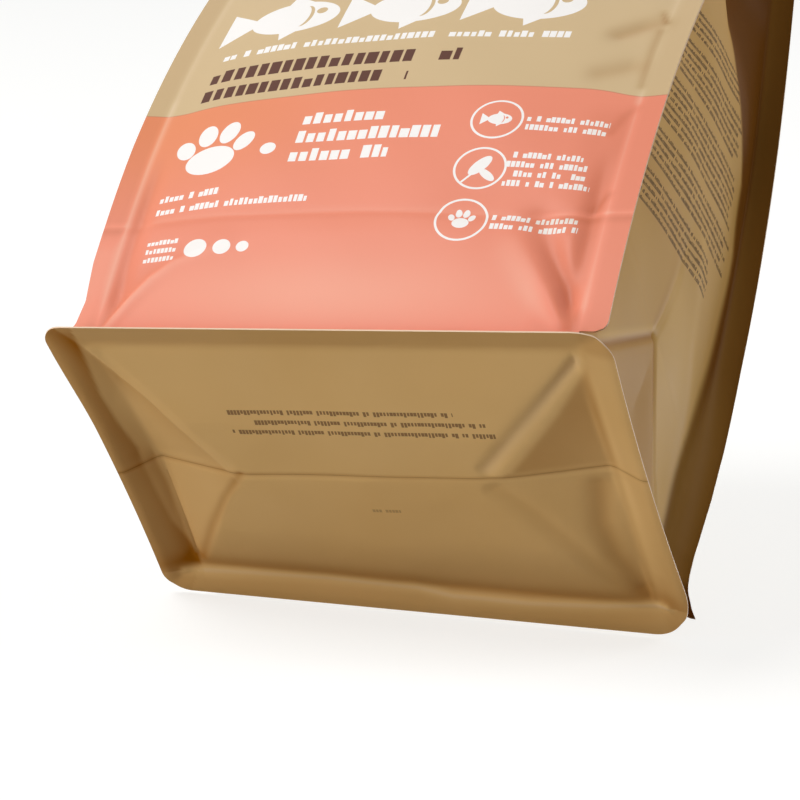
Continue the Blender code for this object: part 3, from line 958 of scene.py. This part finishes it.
def film_surface_group():
    """Fine texture of laminated film: its height, its roughness and a slow change of tone."""
    inputs = [("Place", None), ("Roughness", 0.42), ("Roughness Spread", 0.08),
              ("Grain Size", 0.0004)]
    outputs = [("Height", "NodeSocketFloat"), ("Roughness", "NodeSocketFloat"),
               ("Tone", "NodeSocketFloat")]
    group, start, end = make_group("film surface", inputs, outputs)
    place = start.outputs["Place"]
    scale = math_node(group, "DIVIDE", 1.0, start.outputs["Grain Size"])
    grain = add_node(group, "ShaderNodeTexNoise", {"Vector": place, "Scale": scale, "Detail": 2.0})
    swell = add_node(group, "ShaderNodeTexNoise", {"Vector": place, "Scale": 90.0, "Detail": 3.0,
                                                   "Distortion": 0.6})
    cloud = add_node(group, "ShaderNodeTexNoise", {"Vector": place, "Scale": 28.0, "Detail": 2.0})
    height = math_node(group, "MULTIPLY_ADD", grain.outputs[0], 0.10, swell.outputs[0])
    spread = math_node(group, "SUBTRACT", cloud.outputs[0], 0.5)
    roughness = math_node(group, "MULTIPLY_ADD", spread, start.outputs["Roughness Spread"],
                          start.outputs["Roughness"])
    group.links.new(height, end.inputs["Height"])
    group.links.new(roughness, end.inputs["Roughness"])
    group.links.new(cloud.outputs[0], end.inputs["Tone"])
    return group


GROUPS = {"oval": oval_group(), "bar": bar_group(), "wedge": wedge_group(),
          "rows": block_rows_group(), "surface": film_surface_group()}


def add_group(tree, name, inputs):
    return add_node(tree, "ShaderNodeGroup", inputs, node_tree=GROUPS[name])


def mark(tree, place, kind, x, y, half_width, half_height, turn=0.0, rounding=None):
    """Ink of one oval, bar or wedge, its measures in millimetres and its turn in degrees."""
    inputs = {"Place": place, "X": x / 1000, "Y": y / 1000, "Half Width": half_width / 1000,
              "Half Height": half_height / 1000, "Turn": math.radians(turn)}
    if rounding is not None:
        inputs["Rounding"] = rounding / 1000
    return add_group(tree, kind, inputs).outputs["Ink"]


def rows(tree, place, left, right, top, count, pitch, height, width, seed, **more):
    """Ink of rows of blocks, measures in millimetres."""
    inputs = {"Place": place, "Left": left / 1000, "Right": right / 1000, "Top": top / 1000,
              "Rows": float(count), "Pitch": pitch / 1000, "Block Height": height / 1000,
              "Block Width": width / 1000, "Seed": float(seed)}
    names = {"gap": "Word Gap", "low": "Low Share", "ragged": "Ragged",
             "paragraph": "Paragraph"}
    for key, value in more.items():
        inputs[names[key]] = value
    return add_group(tree, "rows", inputs).outputs["Ink"]


def together(tree, inks):
    """Ink where any of several has it."""
    ink = inks[0]
    for other in inks[1:]:
        ink = math_node(tree, "MAXIMUM", ink, other)
    return ink


def without(tree, ink, hole):
    return math_node(tree, "SUBTRACT", ink, hole, limit=True)


# The film's surface, and colours as they are printed
FILM_ROUGHNESS = 0.42
EDGE_ROUGHNESS = 0.55
BUMP_STRENGTH = 0.10
BUMP_DISTANCE = 0.0006
PINK = (0.820, 0.265, 0.165, 1)
PINK_WARM = (0.780, 0.260, 0.120, 1)
OVERLAP = (0.520, 0.180, 0.095, 1)
KRAFT = (0.620, 0.455, 0.255, 1)
KRAFT_SIDE = (0.590, 0.385, 0.165, 1)
# The gussets' kraft, warmer and deeper than the back's: painted shade
GUSSET_SHADED_PALE = (0.690, 0.430, 0.155, 1)
GUSSET_SHADED_DEEP = (0.630, 0.380, 0.112, 1)
# The underside's kraft, brighter than the back's: painted light
UNDERSIDE_LIT_PALE = (0.850, 0.545, 0.228, 1)
UNDERSIDE_LIT_DEEP = (0.770, 0.465, 0.167, 1)
# Tints of the painted shade and painted highlight that the shade attribute lays over the print
PAINTED_SHADE_TINT = (0.460, 0.240, 0.000, 1)
PAINTED_HIGHLIGHT_TINT = (1.000, 0.800, 0.620, 1)
KRAFT_SHADE = (0.260, 0.130, 0.030, 1)
# Painted shade: the dark brown laid over the fins and behind the gussets' middle folds
FIN_SHADE_BROWN = (0.262, 0.126, 0.022, 1)
INK_BROWN = (0.095, 0.030, 0.016, 1)
INK_DARK_KRAFT = (0.110, 0.050, 0.014, 1)
INK_WHITE = (0.930, 0.900, 0.870, 1)
CUT_EDGE = (0.850, 0.620, 0.440, 1)


def film_material(name, paint, specular=0.20):
    """A satin film: paint(tree, place, tone) gives its colour, under painted shade, darker and
    warmer, and painted highlight, paler, where the film's shade attribute says so."""
    material, tree = new_material(name)
    shader = tree.nodes["Principled BSDF"]
    place = add_node(tree, "ShaderNodeUVMap", uv_map="film").outputs[0]
    surface = add_group(tree, "surface", {"Place": place, "Roughness": FILM_ROUGHNESS})
    colour = paint(tree, place, surface.outputs["Tone"])
    shade = add_node(tree, "ShaderNodeAttribute", attribute_name="shade").outputs["Fac"]
    # Painted shade where the shade attribute is above 0, painted highlight where it is below 0
    deep = math_node(tree, "MAXIMUM", shade, 0.0)
    hollow = mix_colours(tree, deep, colour, PAINTED_SHADE_TINT, "MULTIPLY")
    pale = math_node(tree, "MAXIMUM", math_node(tree, "MULTIPLY", shade, -1.0), 0.0)
    colour = mix_colours(tree, pale, hollow, PAINTED_HIGHLIGHT_TINT)
    tree.links.new(colour, shader.inputs["Base Color"])
    tree.links.new(surface.outputs["Roughness"], shader.inputs["Roughness"])
    bump = add_node(tree, "ShaderNodeBump", {"Strength": BUMP_STRENGTH,
                                             "Distance": BUMP_DISTANCE,
                                             "Height": surface.outputs["Height"]})
    tree.links.new(bump.outputs[0], shader.inputs["Normal"])
    shader.inputs["Specular IOR Level"].default_value = specular
    return material


def fade_between(tree, value, low, high):
    """0 below low, 1 above high."""
    node = add_node(tree, "ShaderNodeMapRange", {0: value, 1: low, 2: high},
                    interpolation_type="SMOOTHSTEP")
    return node.outputs[0]


def stamp(tree, place, x, y, size, parts):
    """Marks of a small picture, each part's place and half sizes in units of its size."""
    return [mark(tree, place, kind, x + aside * size, y + above * size, half_width * size,
                 half_height * size, turn)
            for kind, aside, above, half_width, half_height, turn in parts]


def paw(tree, place, x, y, size):
    """A paw print of one pad and four toes."""
    return stamp(tree, place, x, y, size,
                 (("oval", 0, -2.6, 4.6, 3.5, 0), ("oval", -5.6, 1.2, 1.7, 2.5, 24),
                  ("oval", -2.1, 4.1, 1.8, 2.8, 8), ("oval", 2.1, 4.1, 1.8, 2.8, -8),
                  ("oval", 5.6, 1.2, 1.7, 2.5, -24)))


def fish(tree, place, x, y, size):
    """A plain fish: a body, a tail and two fins, with its eye and the line of its gill open."""
    *solid, eye, gill, gill_front = stamp(
        tree, place, x, y, size,
        (("oval", 0, 0, 8.2, 5.0, 0), ("wedge", -9.6, 0, 5.2, 3.4, -90),
         ("wedge", -1.0, 5.2, 3.6, 2.6, 20), ("wedge", -0.5, -4.9, 2.8, 2.2, 160),
         ("oval", 4.6, 1.3, 1.0, 1.0, 0), ("oval", 1.6, 0, 1.7, 3.4, 0),
         ("oval", 0.9, 0, 1.7, 3.6, 0)))
    gill = without(tree, gill, gill_front)
    return without(tree, together(tree, solid), together(tree, [eye, gill]))


def ring(tree, place, x, y, radius, line):
    return without(tree, mark(tree, place, "oval", x, y, radius, radius),
                   mark(tree, place, "oval", x, y, radius - line, radius - line))


def paint_front(tree, place, tone):
    parts = add_node(tree, "ShaderNodeSeparateXYZ", {0: place})
    x, y = parts.outputs[0], parts.outputs[1]
    # Grounds: kraft above, pink below, warmer towards the upper left
    warm = math_node(tree, "MULTIPLY", fade_between(tree, x, 0.02, -0.06),
                     fade_between(tree, y, 0.03, 0.075))
    pink = mix_colours(tree, warm, PINK, PINK_WARM)
    ground = mix_colours(tree, fade_between(tree, y, 0.07595, 0.07605), pink, KRAFT)
    # The two overlap in a thin line
    from_border = math_node(tree, "ABSOLUTE", math_node(tree, "SUBTRACT", y, 0.0760))
    overlap = math_node(tree, "MULTIPLY", fade_between(tree, from_border, 0.0003, 0.0), 0.6)
    ground = mix_colours(tree, overlap, ground, OVERLAP)
    # White print
    white = paw(tree, place, -41.0, 60.0, 1.28)
    white += [mark(tree, place, "oval", -27.0, 58.0, 1.9, 1.9)]
    white += [rows(tree, place, -20.8, -1.0, 69.4, 1, 4.6, 3.7, 2.5, 11, gap=0.0, low=0.35),
              rows(tree, place, -21.0, 13.4, 63.4, 1, 4.6, 3.9, 2.5, 12, gap=0.0, low=0.35),
              rows(tree, place, -21.3, 2.6, 57.4, 1, 4.6, 3.9, 2.5, 13, gap=0.12, low=0.35),
              rows(tree, place, -50.5, -36.0, 47.6, 1, 3.0, 2.0, 1.2, 14, low=0.5),
              rows(tree, place, -50.5, -13.6, 43.4, 1, 3.0, 2.0, 1.2, 15, low=0.5),
              rows(tree, place, -49.8, -42.2, 32.6, 3, 2.5, 1.4, 0.95, 16, gap=0.0, low=0.4),
              rows(tree, place, -49.0, 36.0, 97.2, 1, 3.0, 2.4, 1.7, 17, low=0.35),
              rows(tree, place, 33.0, 52.6, 66.6, 2, 2.7, 1.7, 1.1, 18, ragged=0.003, low=0.4),
              rows(tree, place, 31.2, 53.0, 55.4, 4, 2.7, 1.7, 1.1, 19, ragged=0.005, low=0.4),
              rows(tree, place, 31.2, 52.0, 37.4, 2, 2.7, 1.7, 1.1, 20, ragged=0.002, low=0.4)]
    white += [mark(tree, place, "oval", x0, 28.4, radius, radius)
              for x0, radius in ((-37.4, 2.7), (-31.0, 2.1), (-26.0, 1.5))]
    white += [ring(tree, place, x0, y0, 6.1, 0.55)
              for x0, y0 in ((26.2, 64.7), (25.5, 49.9), (24.4, 34.9))]
    white += [fish(tree, place, 26.9, 64.7, 0.34)]
    white += [mark(tree, place, "oval", 25.4, 50.6, 1.5, 3.4, -38),
              mark(tree, place, "oval", 27.4, 48.0, 1.0, 2.4, 50),
              mark(tree, place, "bar", 23.2, 47.2, 0.25, 2.0, -38, 0.2)]
    white += paw(tree, place, 24.4, 35.0, 0.42)
    white += [fish(tree, place, x0, 108.2, 1.34) for x0 in (-34.5, -4.5, 25.5)]
    brown = [rows(tree, place, -50.0, 12.0, 90.6, 1, 5.6, 4.5, 3.0, 31, low=0.25),
             rows(tree, place, -50.0, 1.0, 83.4, 1, 5.0, 4.1, 2.8, 32, low=0.25)]
    colour = mix_colours(tree, together(tree, brown), ground, INK_BROWN)
    return mix_colours(tree, together(tree, white), colour, INK_WHITE)


def shade_brown_where_said(tree, colour):
    """Mixes in the dark brown of painted shade, where the film's brown attribute says so."""
    brown = add_node(tree, "ShaderNodeAttribute", attribute_name="brown").outputs["Fac"]
    return mix_colours(tree, brown, colour, FIN_SHADE_BROWN)


def paint_back(tree, place, tone):
    ground = mix_colours(tree, tone, KRAFT, KRAFT_SIDE)
    brown = [ring(tree, place, 0.0, 92.0, 7.0, 0.6),
             fish(tree, place, 0.5, 92.0, 0.42),
             rows(tree, place, -46.0, 46.0, 68.0, 9, 4.4, 2.0, 1.3, 41, ragged=0.02, low=0.4),
             rows(tree, place, -46.0, -4.0, 178.0, 22, 3.2, 1.7, 1.1, 42, ragged=0.006,
                  paragraph=6.0, low=0.4),
             rows(tree, place, 4.0, 46.0, 178.0, 22, 3.2, 1.7, 1.1, 43, ragged=0.006,
                  paragraph=6.0, low=0.4)]
    colour = mix_colours(tree, together(tree, brown), ground, INK_BROWN)
    return shade_brown_where_said(tree, colour)


def paint_gusset(tree, place, tone):
    parts = add_node(tree, "ShaderNodeSeparateXYZ", {0: place})
    x, y = parts.outputs[0], parts.outputs[1]
    ground = mix_colours(tree, tone, GUSSET_SHADED_DEEP, GUSSET_SHADED_PALE)
    # The rows run downhill to the back, a little curved
    fall = math_node(tree, "MULTIPLY_ADD", x, 1.1, -0.35)
    row_place = add_node(tree, "ShaderNodeCombineXYZ",
                         {0: x, 1: math_node(tree, "MULTIPLY_ADD", x, fall, y)}).outputs[0]
    text = [rows(tree, row_place, -41.0, right, top, count, 2.2, 1.15, 0.62, seed,
                 gap=0.09, low=0.5, ragged=0.006)
            for right, top, count, seed in ((20, 132.2, 4, 51), (25, 121.2, 6, 52),
                                            (32, 105.8, 7, 53), (34, 88.2, 5, 54),
                                            (25, 75.0, 5, 55))]
    ink = math_node(tree, "MULTIPLY", together(tree, text), 0.90)
    return shade_brown_where_said(tree, mix_colours(tree, ink, ground, INK_DARK_KRAFT))


def paint_underside(tree, place, tone):
    ground = mix_colours(tree, tone, UNDERSIDE_LIT_DEEP, UNDERSIDE_LIT_PALE)
    text = [rows(tree, place, -30.5, 32.5, -13.9, 1, 3.2, 1.5, 0.8, 61, low=0.5, gap=0.12),
            rows(tree, place, -25.0, 31.0, -17.1, 1, 3.2, 1.5, 0.8, 62, low=0.5, gap=0.12),
            rows(tree, place, -30.0, 24.0, -20.3, 1, 3.2, 1.5, 0.8, 63, low=0.5, gap=0.12)]
    ink = math_node(tree, "MULTIPLY", together(tree, text), 0.70)
    colour = mix_colours(tree, ink, ground, INK_BROWN)
    faint = math_node(tree, "MULTIPLY",
                      rows(tree, place, -4.0, 3.0, 13.0, 1, 2.0, 1.0, 0.8, 64), 0.35)
    colour = mix_colours(tree, faint, colour, INK_BROWN)
    # Painted shade: a thin dark line along the fold straight across
    fold = mark(tree, place, "bar", 0.0, -0.4, 66.0, 0.11, -0.8, 0.1)
    return mix_colours(tree, math_node(tree, "MULTIPLY", fold, 0.40), colour, KRAFT_SHADE)


def edge_material():
    """The cut edge, where the pale layer of the laminate shows."""
    material, tree = new_material("cut_film_edge")
    shader = tree.nodes["Principled BSDF"]
    place = add_node(tree, "ShaderNodeTexCoord").outputs["Object"]
    surface = add_group(tree, "surface", {"Place": place, "Roughness": EDGE_ROUGHNESS})
    worn = math_node(tree, "MULTIPLY", surface.outputs["Tone"], 0.4)
    colour = mix_colours(tree, worn, CUT_EDGE, KRAFT)
    tree.links.new(colour, shader.inputs["Base Color"])
    tree.links.new(surface.outputs["Roughness"], shader.inputs["Roughness"])
    return material


def build_pouch():
    edge = edge_material()
    foot = FRONT_EDGE_LIFT + RIM_FILM + FLARE
    panel = spaced((-HALF_WIDTH - FIN_WIDTH, -HALF_WIDTH, HALF_WIDTH, HALF_WIDTH + FIN_WIDTH),
                   (FIN_CELL, PANEL_CELL, FIN_CELL))
    piece, u, v = film_sheet("front_film", panel, film_rows(REACH_END), place_front, map_front,
                             {"shade": front_shade})
    fin_foot = np.where(u < 0, LOW_FIN_FOOT, FIN_FOOT)
    cut_away(piece, (np.abs(u) > HALF_WIDTH - CUT_MARGIN) & (v < fin_foot - foot))
    finish_film(piece, FILM, film_material("front_film_print", paint_front), edge, (0, -1, 0))
    piece, u, v = film_sheet("back_film", panel, film_rows(REACH_END), place_back, map_plain,
                             {"shade": no_shade, "brown": back_fin_shade_brown})
    cut_away(piece, (np.abs(u) > HALF_WIDTH - CUT_MARGIN) & (v < LOW_FIN_FOOT - foot))
    finish_film(piece, FILM, film_material("back_film_print", paint_back), edge, (0, 1, 0))
    gusset = spaced((GUSSET_FINS[0], GUSSET_FRONT, GUSSET_BACK, GUSSET_FINS[1]),
                    (FIN_CELL, GUSSET_CELL, GUSSET_CELL))
    gusset_material = film_material("gusset_print", paint_gusset, specular=0.04)
    for name, side, lift in (("left_gusset_film", -1, LEFT_EDGE_LIFT),
                             ("right_gusset_film", 1, RIGHT_EDGE_LIFT)):
        piece, u, v = film_sheet(name, gusset, film_rows(REACH_SIDE), place_gusset(side, lift),
                                 map_plain, {"shade": gusset_shade, "brown": gusset_shade_brown})
        fin_foot = np.where((side > 0) & (u < 0), FIN_FOOT, LOW_FIN_FOOT)
        past = (u < GUSSET_FRONT + CUT_MARGIN) | (u > GUSSET_BACK - CUT_MARGIN)
        cut_away(piece, past & (v < fin_foot - foot))
        finish_film(piece, FILM, gusset_material, edge, (side, 0, 0))
    piece = film_sheet("underside_film", np.linspace(-1, 1, UNDERSIDE_COLUMNS),
                       np.linspace(-1, 1, UNDERSIDE_ROWS), place_underside,
                       map_underside, {"shade": underside_shade})[0]
    underside_material = film_material("underside_print", paint_underside, specular=0.12)
    finish_film(piece, RIM_FILM, underside_material, edge, (0, 0, -1))


# Floor, light and camera

AMBIENT = 0.30
WORLD_WHITE = (1.0, 1.0, 0.99, 1)
FLOOR_SIZE = 12.0
FLOOR_GREY = (0.33, 0.33, 0.33, 1)
FLOOR_WHITE = (1.0, 1.0, 0.985, 1)
FLOOR_LIFT = 0.765  # how much of that white the camera sees, over the light on the floor
SENSOR_WIDTH = 36.0
# Each lamp: the way it lies from the pouch, and how bright it makes what faces it
LAMPS = {"key": ((-0.35, -0.85, 0.28), 0.62), "low_left": ((-0.72, -0.42, -0.55), 0.44),
         "right": ((0.80, -0.15, 0.58), 0.22), "behind": ((0.25, 0.90, 0.40), 0.55)}
LAMP_TARGET = Vector((0, 0, 0.09))
LAMP_DISTANCE = 2.6
LAMP_SIZE = 1.3


def floor_material():
    """White, keeps the shadow, and is clear from behind so that other views stay open."""
    material, tree = new_material("pale_floor")
    tree.nodes.remove(tree.nodes["Principled BSDF"])
    output = tree.nodes["Material Output"]
    diffuse = add_node(tree, "ShaderNodeBsdfDiffuse", {"Color": FLOOR_GREY})
    path = add_node(tree, "ShaderNodeLightPath")
    strength = math_node(tree, "MULTIPLY", path.outputs["Is Camera Ray"], FLOOR_LIFT)
    lift = add_node(tree, "ShaderNodeEmission", {"Color": FLOOR_WHITE, "Strength": strength})
    shown = add_node(tree, "ShaderNodeAddShader", {0: diffuse.outputs[0], 1: lift.outputs[0]})
    clear = add_node(tree, "ShaderNodeBsdfTransparent")
    behind = add_node(tree, "ShaderNodeNewGeometry").outputs["Backfacing"]
    hidden = math_node(tree, "MAXIMUM", behind, path.outputs["Is Shadow Ray"])
    mixed = add_node(tree, "ShaderNodeMixShader",
                     {0: hidden, 1: shown.outputs[0], 2: clear.outputs[0]})
    tree.links.new(mixed.outputs[0], output.inputs["Surface"])
    return material


def build_floor():
    """The plane that the tipped pouch's back rim touches, as the camera sees it."""
    turn = (math.radians(FLOOR_TILT), 0, math.radians(FLOOR_TURN))
    bpy.ops.mesh.primitive_plane_add(size=FLOOR_SIZE, location=(0, FLOOR_Y, 0), rotation=turn)
    floor = bpy.context.object
    floor.name = "floor"
    floor.data.materials.append(floor_material())
    floor.select_set(False)


def build_world():
    world = bpy.data.worlds.new("studio")
    bpy.context.scene.world = world
    world.use_nodes = True
    tree = world.node_tree
    background = tree.nodes["Background"]
    path = add_node(tree, "ShaderNodeLightPath")
    seen = math_node(tree, "MAXIMUM", path.outputs["Is Camera Ray"],
                     math_node(tree, "MAXIMUM", path.outputs["Is Glossy Ray"],
                               path.outputs["Is Transmission Ray"]))
    strength = math_node(tree, "MULTIPLY_ADD", seen, 1 - AMBIENT, AMBIENT)
    background.inputs["Color"].default_value = WORLD_WHITE
    tree.links.new(strength, background.inputs["Strength"])


def add_lamp(name, way, brightness):
    """A square soft lamp that faces the pouch. A white sheet that faces it there would show
    its brightness."""
    way = Vector(way).normalized()
    bpy.ops.object.light_add(type="AREA", location=LAMP_TARGET + LAMP_DISTANCE * way)
    lamp = bpy.context.object
    lamp.name = name
    lamp.data.size = LAMP_SIZE
    lamp.data.energy = brightness * math.pi ** 2 * LAMP_DISTANCE ** 2
    lamp.rotation_euler = way.to_track_quat("Z", "Y").to_euler()
    lamp.select_set(False)


def build_camera():
    data = bpy.data.cameras.new("camera")
    data.lens = LENS
    data.sensor_width = SENSOR_WIDTH
    camera = bpy.data.objects.new("camera", data)
    camera.location = CAMERA_PLACE
    camera.rotation_euler = [math.radians(angle) for angle in CAMERA_TURN]
    bpy.context.scene.collection.objects.link(camera)
    bpy.context.scene.camera = camera


bpy.ops.object.select_all(action="DESELECT")
build_camera()
build_world()
build_floor()
for lamp_name, (way, brightness) in LAMPS.items():
    add_lamp(lamp_name, way, brightness)
build_pouch()
bpy.context.scene.view_settings.view_transform = "Standard"
